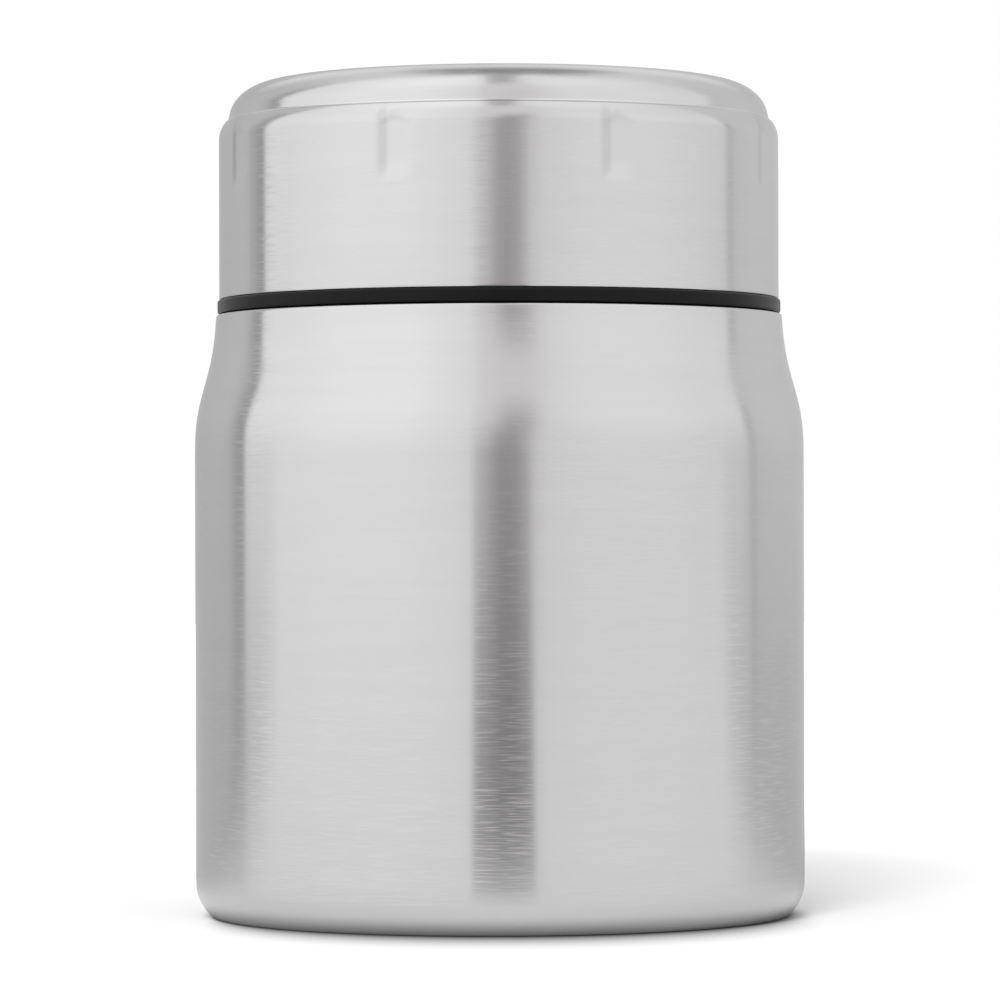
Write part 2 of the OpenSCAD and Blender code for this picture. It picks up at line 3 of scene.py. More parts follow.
import bpy
import numpy as np
from mathutils import Matrix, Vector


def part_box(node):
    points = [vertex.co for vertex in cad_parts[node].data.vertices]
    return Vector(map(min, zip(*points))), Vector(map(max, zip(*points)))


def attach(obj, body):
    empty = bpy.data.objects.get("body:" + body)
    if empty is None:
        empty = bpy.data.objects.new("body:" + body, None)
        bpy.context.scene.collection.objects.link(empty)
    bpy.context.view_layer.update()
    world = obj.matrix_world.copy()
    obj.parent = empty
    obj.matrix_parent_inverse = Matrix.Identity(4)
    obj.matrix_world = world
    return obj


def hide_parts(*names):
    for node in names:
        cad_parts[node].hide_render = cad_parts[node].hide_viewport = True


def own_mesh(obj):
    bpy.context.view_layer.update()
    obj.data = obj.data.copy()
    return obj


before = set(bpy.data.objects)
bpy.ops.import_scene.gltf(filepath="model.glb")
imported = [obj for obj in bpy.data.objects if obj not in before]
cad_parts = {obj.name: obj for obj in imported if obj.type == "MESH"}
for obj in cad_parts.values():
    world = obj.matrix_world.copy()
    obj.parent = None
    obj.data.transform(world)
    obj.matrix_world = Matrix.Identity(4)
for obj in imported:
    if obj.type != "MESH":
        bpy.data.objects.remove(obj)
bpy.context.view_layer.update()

# ---- Camera ------------------------------------------------------------------------------------
# A long lens a little under a metre from the jar's axis. It is level, at just under half the
# jar's height, and its shift brings the jar to the middle of the picture.
mm = 0.001
camera_away = 847 * mm
camera_height = 61.5 * mm
camera_roll = math.radians(0.15)

lens = bpy.data.cameras.new("camera")
lens.lens = 185.3
lens.shift_x = 0.00045
lens.shift_y = 0.0407
camera = bpy.data.objects.new("camera", lens)
camera.location = (0, -camera_away, camera_height)
camera.rotation_euler = (math.radians(90), camera_roll, 0)
bpy.context.scene.collection.objects.link(camera)
bpy.context.scene.camera = camera
bpy.context.scene.view_settings.view_transform = "Standard"


# ---- Studio ------------------------------------------------------------------------------------
# Two tall soft boxes stand left and right of the camera, with a gap between them where camera and
# stand are. Behind the jar hangs a white sheet, and the walls beside it are grey.
def plug(tree, node, inputs):
    """Sets a node's inputs. A value is set as it is, and a socket is linked."""
    for key, value in inputs.items():
        if isinstance(value, bpy.types.NodeSocket):
            tree.links.new(value, node.inputs[key])
        else:
            node.inputs[key].default_value = value


def wire(tree, kind, inputs=(), **settings):
    """A new node, with its settings and its inputs."""
    made = tree.nodes.new(kind)
    for name, value in settings.items():
        setattr(made, name, value)
    plug(tree, made, dict(inputs))
    return made


def calc(tree, operation, *values):
    return wire(tree, "ShaderNodeMath", enumerate(values), operation=operation).outputs[0]


def times(tree, first, *others):
    """The product of two or more values."""
    for other in others:
        first = calc(tree, "MULTIPLY", first, other)
    return first


def held(tree, value, low, high):
    """The value, kept between low and high."""
    return calc(tree, "MINIMUM", calc(tree, "MAXIMUM", value, low), high)


def mix(tree, factor, a, b):
    return wire(tree, "ShaderNodeMix", {"Factor": factor, "A": a, "B": b}).outputs["Result"]


def ramp(tree, value, start, end, low=0.0, high=1.0):
    """Rises smoothly from low at start to high at end. start may be past end."""
    ends = {"Value": value, "From Min": start, "From Max": end, "To Min": low, "To Max": high}
    made = wire(tree, "ShaderNodeMapRange", ends, interpolation_type="SMOOTHSTEP")
    return made.outputs["Result"]


def window(tree, value, low, high, soft):
    """1 between low and high, and 0 outside, with soft edges."""
    opens = ramp(tree, value, low - soft / 2, low + soft / 2)
    closes = ramp(tree, value, high + soft / 2, high - soft / 2)
    return times(tree, opens, closes)


world = bpy.data.worlds.new("studio")
bpy.context.scene.world = world
world.use_nodes = True
sky = world.node_tree
sky.nodes.clear()

# Angles are in degrees. Azimuth 0 is the camera's side, and over is the angle from there over the
# top to the back.
direction = wire(sky, "ShaderNodeTexCoord").outputs["Generated"]
east, north, up = wire(sky, "ShaderNodeSeparateXYZ", {0: direction}).outputs
south = times(sky, north, -1)
azimuth = calc(sky, "DEGREES", calc(sky, "ARCTAN2", east, south))
elevation = calc(sky, "DEGREES", calc(sky, "ARCSINE", up))
over = calc(sky, "DEGREES", calc(sky, "ARCTAN2", up, south))
aside = calc(sky, "ABSOLUTE", azimuth)

# The grey walls, with the white sheet in front of the back one.
wall_left, wall_right, wall_top = 0.66, 0.78, 0.95
sheet_level = 0.98
wall = ramp(sky, elevation, -2, 12, wall_right, 0.95 * wall_right)
wall = ramp(sky, azimuth, -20, 20, wall_left, wall)
wall = times(sky, wall, ramp(sky, aside, 125, 168, 1, 0.78), ramp(sky, elevation, -4, 8, 0.98, 1.07))
level = ramp(sky, elevation, 30, 70, wall, wall_top)
sheet_there = times(sky, ramp(sky, aside, 140, 160), ramp(sky, elevation, 20, 34))
level = mix(sky, sheet_there, level, sheet_level)

# The boxes' outer edges lean to the right below eye level, and the right one leans above it too.
# Beside each of them the wall lies in the box's shade.
box_lean = 0.5
left_shade, right_shade = 0.4, 0.61
leaning = calc(sky, "MULTIPLY_ADD", held(sky, elevation, -8, 0), box_lean, azimuth)
leaning_right = calc(sky, "MULTIPLY_ADD", held(sky, elevation, -8, 6), box_lean, azimuth)
falling = ramp(sky, leaning, -130, -112)
below = ramp(sky, elevation, 60, 30)
left_there = times(sky, falling, falling, ramp(sky, leaning, -109.5, -112), below)
right_there = times(sky, window(sky, leaning_right, 107, 113, 3), ramp(sky, elevation, 24, 8), below)
level = mix(sky, left_there, level, left_shade)
level = mix(sky, right_there, level, right_shade)

# The boxes. Between the two angles of a row, their light comes up or goes down to its share.
box_level, box_rise = 1.14, 1.095
boxes = ramp(sky, elevation, -6, 14, box_level, box_level * box_rise)
for angle, start, end, share in (
    (elevation, 16, 36, 0.975),
    (elevation, 40, 60, 1.09),
    (aside, 60, 95, 0.93),
    (aside, 42, 8, 0.88),
):
    boxes = times(sky, boxes, ramp(sky, angle, start, end, 1, share))
left_box = window(sky, leaning, -111, 0, 2.4)
right_box = window(sky, leaning_right, 0, 108.5, 5)
right_share = ramp(sky, elevation, -2, 10, 0.825, 0.885)
boxes = times(sky, boxes, mix(sky, right_box, 1, right_share))
level = mix(sky, calc(sky, "MAXIMUM", left_box, right_box), level, boxes)

# The gap between them leans to the right and widens above eye level. It is darkest in its core,
# and a little warm.
gap_level, gap_side_level, gap_top_level = 0.5, 0.94, 0.95
gap_lean, gap_spread, core_lean = -0.3, 0.03, -0.25
gap_warmth = 0.016
tilt = held(sky, elevation, 0, 9)
tilted = calc(sky, "MULTIPLY_ADD", tilt, gap_lean, calc(sky, "ADD", azimuth, 0.6))
tilted = calc(sky, "DIVIDE", tilted, calc(sky, "MULTIPLY_ADD", tilt, gap_spread, 1))
gap = window(sky, tilted, -9, 12, 3)
core = window(sky, calc(sky, "MULTIPLY_ADD", tilt, core_lean, tilted), -4, 7, 7)
gap_now = mix(sky, core, gap_side_level, gap_level)
level = mix(sky, gap, level, ramp(sky, elevation, 3, 36, gap_now, gap_top_level))

# Overhead, the stand's arm reaches back from the gap, with a flat head at its end.
arm_level, head_level = 0.6, 0.36
arm = times(sky, window(sky, over, 58, 105, 20), window(sky, east, -0.05, 0.07, 0.08))
head = times(sky, window(sky, over, 100, 128, 14), window(sky, east, -0.18, 0.24, 0.22))
level = mix(sky, head, mix(sky, arm, level, arm_level), head_level)

# The camera itself sees plain white all round.
seen = wire(sky, "ShaderNodeLightPath").outputs["Is Camera Ray"]
reds = times(sky, level, ramp(sky, gap, 0, 1, 1, 1 + gap_warmth))
greens = times(sky, level, ramp(sky, gap, 0, 1, 1, 1 - gap_warmth))
tint = {k: mix(sky, seen, value, 1) for k, value in enumerate((reds, greens, level))}
tint = wire(sky, "ShaderNodeCombineColor", tint).outputs[0]
glow = wire(sky, "ShaderNodeBackground", {"Color": tint, "Strength": 1})
wire(sky, "ShaderNodeOutputWorld", {"Surface": glow.outputs[0]})

key = bpy.data.objects.new("key_light", bpy.data.lights.new("key_light", "SUN"))
key.data.energy = 1.9
key.data.angle = math.radians(24)
key.rotation_euler = (math.radians(55), 0, math.radians(-15))
key.visible_glossy = False
bpy.context.scene.collection.objects.link(key)


# The table is a white sweep, with a strip of painted shade before it where the camera
# stands. Its own light, for the camera alone, lifts it to white away from the jar. Close to the
# jar a shadow is painted on it, most of it in front.
def position(tree):
    return wire(tree, "ShaderNodeTexCoord").outputs["Object"]


def length(tree, vector):
    return wire(tree, "ShaderNodeVectorMath", {0: vector}, operation="LENGTH").outputs["Value"]


floor_half = 3.0
table = bpy.data.meshes.new("table")
corners = [(x * floor_half, y * floor_half, 0) for x, y in ((-1, -1), (1, -1), (1, 1), (-1, 1))]
table.from_pydata(corners, [], [(0, 1, 2, 3)])
floor = bpy.data.objects.new("table", table)
bpy.context.scene.collection.objects.link(floor)
paper = bpy.data.materials.new("white_sweep")
paper.use_nodes = True
nodes = paper.node_tree
nodes.nodes.clear()
place = position(nodes)
away = length(nodes, place)
side, back, _ = wire(nodes, "ShaderNodeSeparateXYZ", {0: place}).outputs
turn = calc(nodes, "DIVIDE", side, away)
seen = wire(nodes, "ShaderNodeLightPath").outputs["Is Camera Ray"]

# The painted shadow round the jar's foot starts at foot_r and fades out over reach.
foot_r = 46.2 * mm
to_right = calc(nodes, "MAXIMUM", turn, 0)
to_front = calc(nodes, "MAXIMUM", calc(nodes, "DIVIDE", back, times(nodes, away, -1)), 0)
reach = calc(nodes, "MULTIPLY_ADD", times(nodes, to_front, to_front), 36 * mm, 1 * mm)
reach = calc(nodes, "MULTIPLY_ADD", to_right, 5 * mm, reach)
reach = mix(nodes, seen, 7 * mm, reach)
painted_shadow = calc(nodes, "DIVIDE", calc(nodes, "SUBTRACT", away, foot_r), reach)
painted_shadow = calc(nodes, "SUBTRACT", 1, held(nodes, painted_shadow, 0, 1))
painted_shadow = calc(nodes, "SUBTRACT", 1, times(nodes, painted_shadow, painted_shadow))

# What the jar reflects of the table, in painted light and shade: lighter at the front than at its
# back, with the strip of painted shade and a narrow wedge of painted shade behind the jar on the
# left.
front_level, back_level, strip_level, wedge_level = 0.73, 0.44, 0.1, 0.38
seen_level = 0.86
strip = times(nodes, window(nodes, turn, -0.16, 0.2, 0.04), ramp(nodes, back, -95 * mm, -210 * mm))
wedge = times(nodes, window(nodes, turn, -0.93, -0.895, 0.02), ramp(nodes, back, 30 * mm, 90 * mm))
board = ramp(nodes, back, -20 * mm, 100 * mm, front_level, back_level)
board = ramp(nodes, strip, 0, 1, board, strip_level)
board = ramp(nodes, wedge, 0, 1, board, wedge_level)
tone = times(nodes, painted_shadow, mix(nodes, seen, board, seen_level))
lift = ramp(nodes, away, 110 * mm, 360 * mm, 0, 0.4)
own = wire(nodes, "ShaderNodeEmission", {"Strength": times(nodes, lift, seen)})
grey = wire(nodes, "ShaderNodeCombineColor", {0: tone, 1: tone, 2: tone})
white = wire(nodes, "ShaderNodeBsdfDiffuse", {"Color": grey.outputs[0]})
both = wire(nodes, "ShaderNodeAddShader", {0: own.outputs[0], 1: white.outputs[0]})
wire(nodes, "ShaderNodeOutputMaterial", {"Surface": both.outputs[0]})
table.materials.append(paper)


# ---- Outer shell -------------------------------------------------------------------------------
# The jar's outside, drawn from one sheet of stainless steel: its shoulder and neck are spun in,
# its edge is turned in under the base, and a thread with two starts is rolled into the neck. It is
# brushed while it turns, so the fine lines run round it.
def unit(v):
    return v / np.hypot(*v)


def rounded(corners, gap=0.004 * mm):
    """The points of an outline. A corner is (radius, height) or (radius, height, rounding), and
    gap is how far a chord may lie from its arc."""
    points = []
    for before, corner, after in zip([None, *corners], corners, [*corners[1:], None]):
        here = np.array(corner[:2], float)
        if len(corner) == 2 or before is None or after is None:
            points.append(here)
            continue
        back = unit(np.array(before[:2]) - here)
        ahead = unit(np.array(after[:2]) - here)
        half = math.acos(np.clip(back @ ahead, -1, 1)) / 2
        centre = here + unit(back + ahead) * corner[2] / math.sin(half)
        first = here + back * corner[2] / math.tan(half) - centre
        sweep = math.copysign(math.pi - 2 * half, back[1] * ahead[0] - back[0] * ahead[1])
        count = math.ceil((math.pi - 2 * half) / (2 * math.acos(1 - gap / corner[2])))
        for share in np.linspace(0, 1, count + 1):
            c, s = math.cos(sweep * share), math.sin(sweep * share)
            points.append(centre + (c * first[0] - s * first[1], s * first[0] + c * first[1]))
    return points


def beside(path, distance):
    """The same outline, moved to its left."""
    ways = [unit(b - a) for a, b in zip(path, path[1:])]
    left = [np.array((-way[1], way[0])) for way in ways]
    moved = []
    for point, before, after in zip(path, [left[0], *left], [*left, left[-1]]):
        moved.append(point + distance * (before + after) / (1 + before @ after))
    return moved


def finer(path, low, high, step):
    """More points on an outline between the heights low and high."""
    points = [path[0]]
    for a, b in zip(path, path[1:]):
        if max(a[1], b[1]) > low and min(a[1], b[1]) < high:
            count = math.ceil(np.hypot(*(b - a)) / step)
            points += [a + (b - a) * k / count for k in range(1, count)]
        points.append(b)
    return points


def eased(path, low, high, reach):
    """An outline whose arcs between two heights run into each other without a jump in their curve,
    as they do in spun sheet. Each radius becomes the mean of those up to reach above and below."""
    path = np.array(path)
    inside = np.flatnonzero((path[:, 1] > low) & (path[:, 1] < high))
    radii, levels = path[inside].T
    near = np.minimum(reach, np.minimum(levels - low, high - levels))
    near = near * np.linspace(-1, 1, 15)[:, None]
    path[inside, 0] = np.interp(levels + near, levels, radii).mean(axis=0)
    return list(path)


def even_turns(columns):
    return np.linspace(0, 2 * math.pi, columns, endpoint=False)


def solid(name, points, faces, places, sharp):
    """A piece with its mesh, and with the map on which its finish is stored: places holds each
    face's corners there. Edges that turn by more than sharp degrees stay sharp."""
    mesh = bpy.data.meshes.new(name)
    mesh.from_pydata(points, [], faces)
    mesh.uv_layers.new(name="OFBake").uv.foreach_set("vector", np.ravel(places))
    mesh.shade_smooth()
    mesh.set_sharp_from_angle(angle=math.radians(sharp))
    made = bpy.data.objects.new(name, mesh)
    bpy.context.scene.collection.objects.link(made)
    return made


def turned(name, outline, turns, form=None):
    """A closed solid turned about the axis. outline runs counterclockwise as (radius, height), and
    turns are the angles of its columns. form(radius, height), where given, returns the radius of
    one ring's points, column by column."""
    count, columns = len(outline), len(turns)
    vertices, rings = [], []
    total = 0
    for radius, height in outline:
        if radius < 1e-7:
            vertices.append([[0, 0, height]])
            rings.append(np.full(columns, total))
        else:
            radii = np.full(columns, radius) if form is None else form(radius, height)
            ring = [radii * np.cos(turns), radii * np.sin(turns), np.full(columns, height)]
            vertices.append(np.stack(ring, axis=1))
            rings.append(total + np.arange(columns))
        total += len(vertices[-1])
    chords = [np.hypot(*(b - a)) for a, b in zip(outline, [*outline[1:], outline[0]])]
    along = np.cumsum([0, *chords])
    around = np.append(turns - turns[0], 2 * math.pi) * max(radius for radius, _ in outline)
    scale = 1 / max(along[-1], around[-1])
    faces, places = [], []
    for i in range(count):
        a, b = rings[i], rings[(i + 1) % count]
        pole_a, pole_b = a[0] == a[1], b[0] == b[1]
        if pole_a and pole_b:
            continue
        for k in range(columns):
            n = (k + 1) % columns
            face = [(a[k], along[i], around[k]), (a[n], along[i], around[k + 1])]
            face += [(b[n], along[i + 1], around[k + 1]), (b[k], along[i + 1], around[k])]
            if pole_a:
                del face[0]
            if pole_b:
                del face[2]
            faces.append([int(corner[0]) for corner in face])
            places += [(corner[1] * scale, corner[2] * scale) for corner in face]
    made = solid(name, np.concatenate(vertices).tolist(), faces, places, 35)
    made.modifiers.new("even_faces", "WEIGHTED_NORMAL").keep_sharp = True
    return made


thread_starts = 2
thread_depth = 1.2 * mm
thread_step = 0.2 * mm
thread_turns = even_turns(256)


def ridge(height, middle, pitch, run):
    """How much of a thread's depth there is at a height, for each column. The ridge climbs one
    pitch for each start in a turn. Its run is given in degrees, and it fades out at both ends."""
    fade, blunt, slope = 18, 2, 0.7 * mm
    half = pitch / 4 - 0.2 * mm
    share = np.zeros(len(thread_turns))
    for start in range(thread_starts):
        turn = (np.degrees(thread_turns) - 360 / thread_starts * start) % 360
        ends = np.minimum(turn - run[0] + blunt, run[1] + blunt - turn) / fade
        off = np.abs(height - middle - pitch * thread_starts * turn / 360)
        flank = np.clip((half + slope - off) / (2 * slope), 0, 1)
        share = np.maximum(share, np.clip(ends, 0, 1) * flank * flank * (3 - 2 * flank))
    return share


def threaded(depth, middle, pitch, run, wall_r):
    """A form for turned() that raises a thread on the rings of radius wall_r and leaves the others
    round. A depth below zero raises it inward."""

    def form(radius, height):
        if abs(radius - wall_r) > 0.01 * mm:
            return np.full(len(thread_turns), radius)
        return radius + depth * ridge(height, middle, pitch, run)

    return form


def effect(name, inputs, outputs):
    """A new node group with its sockets, and what its inputs give."""
    group = bpy.data.node_groups.new(name, "ShaderNodeTree")
    for label, value in inputs.items():
        socket = group.interface.new_socket(label, in_out="INPUT", socket_type="NodeSocketFloat")
        socket.default_value = value
    for label in outputs:
        group.interface.new_socket(label, in_out="OUTPUT", socket_type="NodeSocketFloat")
    return group, wire(group, "NodeGroupInput").outputs


def brushing():
    """Lines gives the single strokes of a belt that ran round the axis, and Bands its slow change
    from one height to the next. Both follow the surface from side to top."""
    sizes = {"Line": 0.22 * mm, "Streak": 5 * mm, "Band": 3 * mm}
    group, given = effect("brushing", sizes, ("Lines", "Bands"))
    x, y, z = wire(group, "ShaderNodeSeparateXYZ", {0: position(group)}).outputs
    flat = wire(group, "ShaderNodeCombineXYZ", {0: x, 1: y}).outputs[0]
    along = calc(group, "SUBTRACT", z, times(group, length(group, flat), 0.6))
    made = []
    for size, longer in (("Line", 1), ("Band", 8)):
        streak = times(group, given["Streak"], longer)
        cells = {0: calc(group, "DIVIDE", x, streak), 1: calc(group, "DIVIDE", y, streak)}
        cells[2] = calc(group, "DIVIDE", along, given[size])
        vector = wire(group, "ShaderNodeCombineXYZ", cells).outputs[0]
        grain = {"Vector": vector, "Scale": 1, "Detail": 1, "Roughness": 0.6}
        made.append(wire(group, "ShaderNodeTexNoise", grain).outputs["Fac"])
    wire(group, "NodeGroupOutput", {"Lines": made[0], "Bands": made[1]})
    return group


brushing_group = brushing()


def blank(name):
    """A new material, with its node tree and its shader."""
    made = bpy.data.materials.new(name)
    made.use_nodes = True
    return made, made.node_tree, made.node_tree.nodes["Principled BSDF"]


def tinted(tree, colour, share):
    """A colour, made lighter or darker by a share."""
    made = wire(tree, "ShaderNodeVectorMath", {0: colour, "Scale": share}, operation="SCALE")
    return made.outputs["Vector"]


def steel(name, colour, roughness, stretch, line=0.22 * mm, streak=5 * mm, uneven=0.095):
    """Steel brushed round the axis. stretch draws its highlights out across the strokes, and
    uneven is how much rougher the deeper strokes are."""
    made, tree, shader = blank(name)
    sizes = {"Line": line, "Streak": streak}
    lines, bands = wire(tree, "ShaderNodeGroup", sizes, node_tree=brushing_group).outputs
    deep = ramp(tree, lines, 0.46, 0.72)
    slow = ramp(tree, bands, 0.35, 0.65, 0.993, 1.007)
    plug(tree, shader, {
        "Base Color": tinted(tree, colour, calc(tree, "MULTIPLY_ADD", deep, 0.2 * uneven, slow)),
        "Roughness": calc(tree, "MULTIPLY_ADD", deep, uneven, roughness),
        "Tangent": wire(tree, "ShaderNodeTangent", direction_type="RADIAL", axis="Z").outputs[0],
        "Metallic": 1,
        "Anisotropic": stretch,
        "Anisotropic Rotation": 0.25,
    })
    return made


def fitted(piece, body, node, material):
    """The piece stands for the frame's node, rides on its body and takes its finish."""
    piece.data.materials.append(material)
    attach(piece, body)
    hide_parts(node)


sheet = 0.6 * mm
jar_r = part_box("outer_shell")[1].x
weld_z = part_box("outer_shell")[1].z
jar_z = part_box("lid_gasket")[0].z
disc_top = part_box("base_disc")[1].z
shoulder_r = jar_r - 3.55 * mm
collar_r = shoulder_r + 0.45 * mm
neck_r = 41.2 * mm
foot_in_r = jar_r - 9.4 * mm
neck_thread_z = jar_z + 3.3 * mm
lid_pitch = 5 * mm
rim = 0.25 * mm
shell_outside = rounded([
    (foot_in_r - 5 * mm, disc_top),
    (foot_in_r, disc_top, 0.6 * mm),
    (foot_in_r, 0, 1 * mm),
    (jar_r - 2.7 * mm, 0, 0.85 * mm),
    (jar_r, 2.56 * mm, 7.8 * mm),
    (jar_r, 10 * mm),
    (jar_r, jar_z - 28 * mm),
    (jar_r, jar_z - 16.7 * mm, 26.7 * mm),
    (collar_r, jar_z - 6.3 * mm, 35.4 * mm),
    (shoulder_r, jar_z + rim, 0.35 * mm),
    (shoulder_r - 1.1 * mm, jar_z + rim, 0.2 * mm),
    (shoulder_r - 1.25 * mm, jar_z, 0.2 * mm),
    (neck_r, jar_z, 0.9 * mm),
    (neck_r, weld_z),
])
base_bend = (4 * mm, 10 * mm, 1.5 * mm)
shoulder_bend = (jar_z - 27.9 * mm, jar_z - 0.5 * mm, 3 * mm)
for bend_low, bend_high, reach in (base_bend, shoulder_bend):
    shell_outside = finer(shell_outside, bend_low, bend_high, 0.75 * mm)
    shell_outside = eased(shell_outside, bend_low, bend_high, reach)
shell_inside = beside(shell_outside, sheet)[::-1]
shell_outside = finer(shell_outside, jar_z + 1 * mm, weld_z, thread_step)
neck_form = threaded(thread_depth, neck_thread_z, lid_pitch, (0, 216), neck_r)
shell = turned("jar_shell", shell_outside + shell_inside, thread_turns, neck_form)
outer_colour, outer_rough, outer_stretch = (0.62, 0.617, 0.619), 0.168, 0.8
shell_steel = steel("brushed_shell", outer_colour, outer_rough, outer_stretch)
fitted(shell, "jar", "outer_shell", shell_steel)

# ---- Lid cup -----------------------------------------------------------------------------------
# The lid's outside, pressed from one steel sheet: an upright side, a shoulder, a small step and a
# low crown. Eight short grip flutes are pressed into the shoulder and run out down the side.
cup_sheet = 0.7 * mm
cup_low, cup_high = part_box("lid_cup")
cup_r = cup_high.x
cup_z, cup_top = cup_low.z, cup_high.z
step_z = cup_top - 6.5 * mm
cup_shoulder = 5.2 * mm
cup_round = 0.87 * cup_shoulder
cup_turn = math.radians(37.5)
cup_side_z = step_z - cup_shoulder * math.sin(cup_turn)
crown_r = cup_r - 1.7 * mm
crown_w, crown_h = 7.8 * mm, 5.9 * mm
step_r = cup_r - cup_shoulder * (1 - math.cos(cup_turn))
cup_outside = rounded([
    (cup_r - cup_sheet / 2, cup_z),
    (cup_r, cup_z, 0.25 * mm),
    (cup_r, cup_side_z + cup_shoulder * math.tan(cup_turn / 2), cup_round),
    (step_r + 0.08 * mm, step_z - 0.1 * mm, 0.15 * mm),
    (crown_r + 0.24 * mm, step_z + 0.13 * mm, 0.6 * mm),
    (crown_r - 0.1 * mm, step_z + 1.52 * mm),
])
for angle in np.radians(np.arange(12, 91, 3)):
    across = crown_r - crown_w * (1 - math.cos(angle))
    cup_outside.append(np.array((across, cup_top - crown_h * (1 - math.sin(angle)))))
cup_outside.append(np.array((0, cup_top)))
cup_inside = beside(cup_outside[1:], cup_sheet)[::-1]

flute_count = 8
flute_depth = 0.22 * mm
flute_half = 3.2 * mm
flute_high = step_z - 0.9 * mm
flute_low = flute_high - 8.2 * mm
flute_fade = 3.5 * mm
flute_arch = 0.12 / mm
flute_angle = 2 * math.pi / flute_count
front = -90  # degrees from +X to the viewer's side
first_flute = front + 24.5
flute_turns = np.radians(first_flute + 360 / flute_count * np.arange(flute_count))

# The columns and rings stand closer together at the flutes.
near, half_sector = 5.5, 180 / flute_count
coarse, fine = 8, 32
sector = np.concatenate([
    np.linspace(-half_sector, -near, coarse, endpoint=False),
    np.linspace(-near, near, fine, endpoint=False),
    np.linspace(near, half_sector, coarse, endpoint=False),
])
cup_turns = np.concatenate([turn + np.radians(sector) for turn in flute_turns])
ring_step = 0.35 * mm
cup_outside = finer(cup_outside, flute_low - flute_fade, step_z, ring_step)
cup_inside = finer(cup_inside, flute_low - flute_fade, step_z, ring_step)


def step(value, start, end):
    """Rises smoothly from 0 at start to 1 at end."""
    share = np.clip((value - start) / (end - start), 0, 1)
    return share * share * (3 - 2 * share)


def cup_form(radius, height):
    """Each flute has its steep wall on the side towards which the lid opens, for the fingers."""
    radii = np.full(len(cup_turns), radius)
    for centre in flute_turns:
        turn = (cup_turns - centre + math.pi) % (2 * math.pi) - math.pi
        across = cup_r * turn
        wide = step(across, -flute_half, -1.3 * mm) * step(across, flute_half, 0.6 * mm)
        top = flute_high - flute_arch * across**2
        tall = step(height, top, top - 2.2 * mm) * step(height, flute_low - flute_fade, flute_low)
        radii -= flute_depth * wide * tall
    return radii


cup = turned("lid_shell", cup_outside + cup_inside, cup_turns, cup_form)
cup_steel = steel("brushed_lid", outer_colour, outer_rough, outer_stretch)

# Each flute is painted a little darker, most of all along one side and in the arch at its top:
# painted shade in the recess. The edge of the step has a painted highlight.
tree = cup_steel.node_tree
shader = tree.nodes["Principled BSDF"]
x, y, z = wire(tree, "ShaderNodeSeparateXYZ", {0: position(tree)}).outputs
turn = calc(tree, "SUBTRACT", calc(tree, "ARCTAN2", y, x), float(flute_turns[0]))
turn = calc(tree, "DIVIDE", turn, flute_angle)
turn = calc(tree, "SUBTRACT", turn, calc(tree, "ROUND", turn))
across = times(tree, turn, flute_angle * cup_r)
flute_side_shade = window(tree, across, -flute_half, -1.5 * mm, 1.6 * mm)
flute_side_shade = times(tree, flute_side_shade, window(tree, z, flute_low - 2 * mm, flute_high, 3 * mm))
arch = calc(tree, "MULTIPLY_ADD", times(tree, across, across), flute_arch, z)
arch = window(tree, arch, flute_high - 1.9 * mm, flute_high - 0.3 * mm, 1.2 * mm)
arch = times(tree, arch, window(tree, across, -2.9 * mm, 0.6 * mm, 3 * mm), 0.6)
flute_shade = ramp(tree, calc(tree, "MAXIMUM", flute_side_shade, arch), 0, 1, 1, 0.88)
step_highlight = window(tree, z, step_z, step_z + 0.35 * mm, 0.2 * mm)
share = calc(tree, "MULTIPLY_ADD", step_highlight, 0.1, flute_shade)
clean = shader.inputs["Base Color"].links[0].from_socket
plug(tree, shader, {"Base Color": tinted(tree, clean, share)})
fitted(cup, "lid", "lid_cup", cup_steel)


# ---- Lid liner ---------------------------------------------------------------------------------
# The lid's black plastic insert, moulded in one piece: the flange that shows under the steel, the
# wall with the lid's thread, and the bowl's wall and floor above it. The cup is pushed over it.
def moulding():
    """Grain gives the fine even texture of a moulded face, and Flow its slow change in gloss."""
    group, given = effect("moulding", {"Size": 0.3 * mm}, ("Grain", "Flow"))
    made = []
    for larger in (1, 40):
        scale = calc(group, "DIVIDE", 1, times(group, given["Size"], larger))
        grain = {"Vector": position(group), "Scale": scale, "Detail": 2}
        made.append(wire(group, "ShaderNodeTexNoise", grain).outputs["Fac"])
    wire(group, "NodeGroupOutput", {"Grain": made[0], "Flow": made[1]})
    return group


moulding_group = moulding()


def plastic(name, colour, roughness, size=0.3 * mm, depth=0.01 * mm, gloss=0.5, clear=0.0):
    """A moulded plastic or rubber face. clear is how much light goes through it."""
    made, tree, shader = blank(name)
    grain, flow = wire(tree, "ShaderNodeGroup", {"Size": size}, node_tree=moulding_group).outputs
    bump = wire(tree, "ShaderNodeBump", {"Height": grain, "Distance": depth, "Strength": 0.6})
    plug(tree, shader, {
        "Base Color": tinted(tree, colour, ramp(tree, flow, 0.3, 0.7, 0.92, 1.08)),
        "Roughness": ramp(tree, flow, 0.3, 0.7, roughness * 0.9, roughness * 1.1),
        "Normal": bump.outputs["Normal"],
        "Specular IOR Level": gloss,
        "Transmission Weight": clear,
    })
    return made


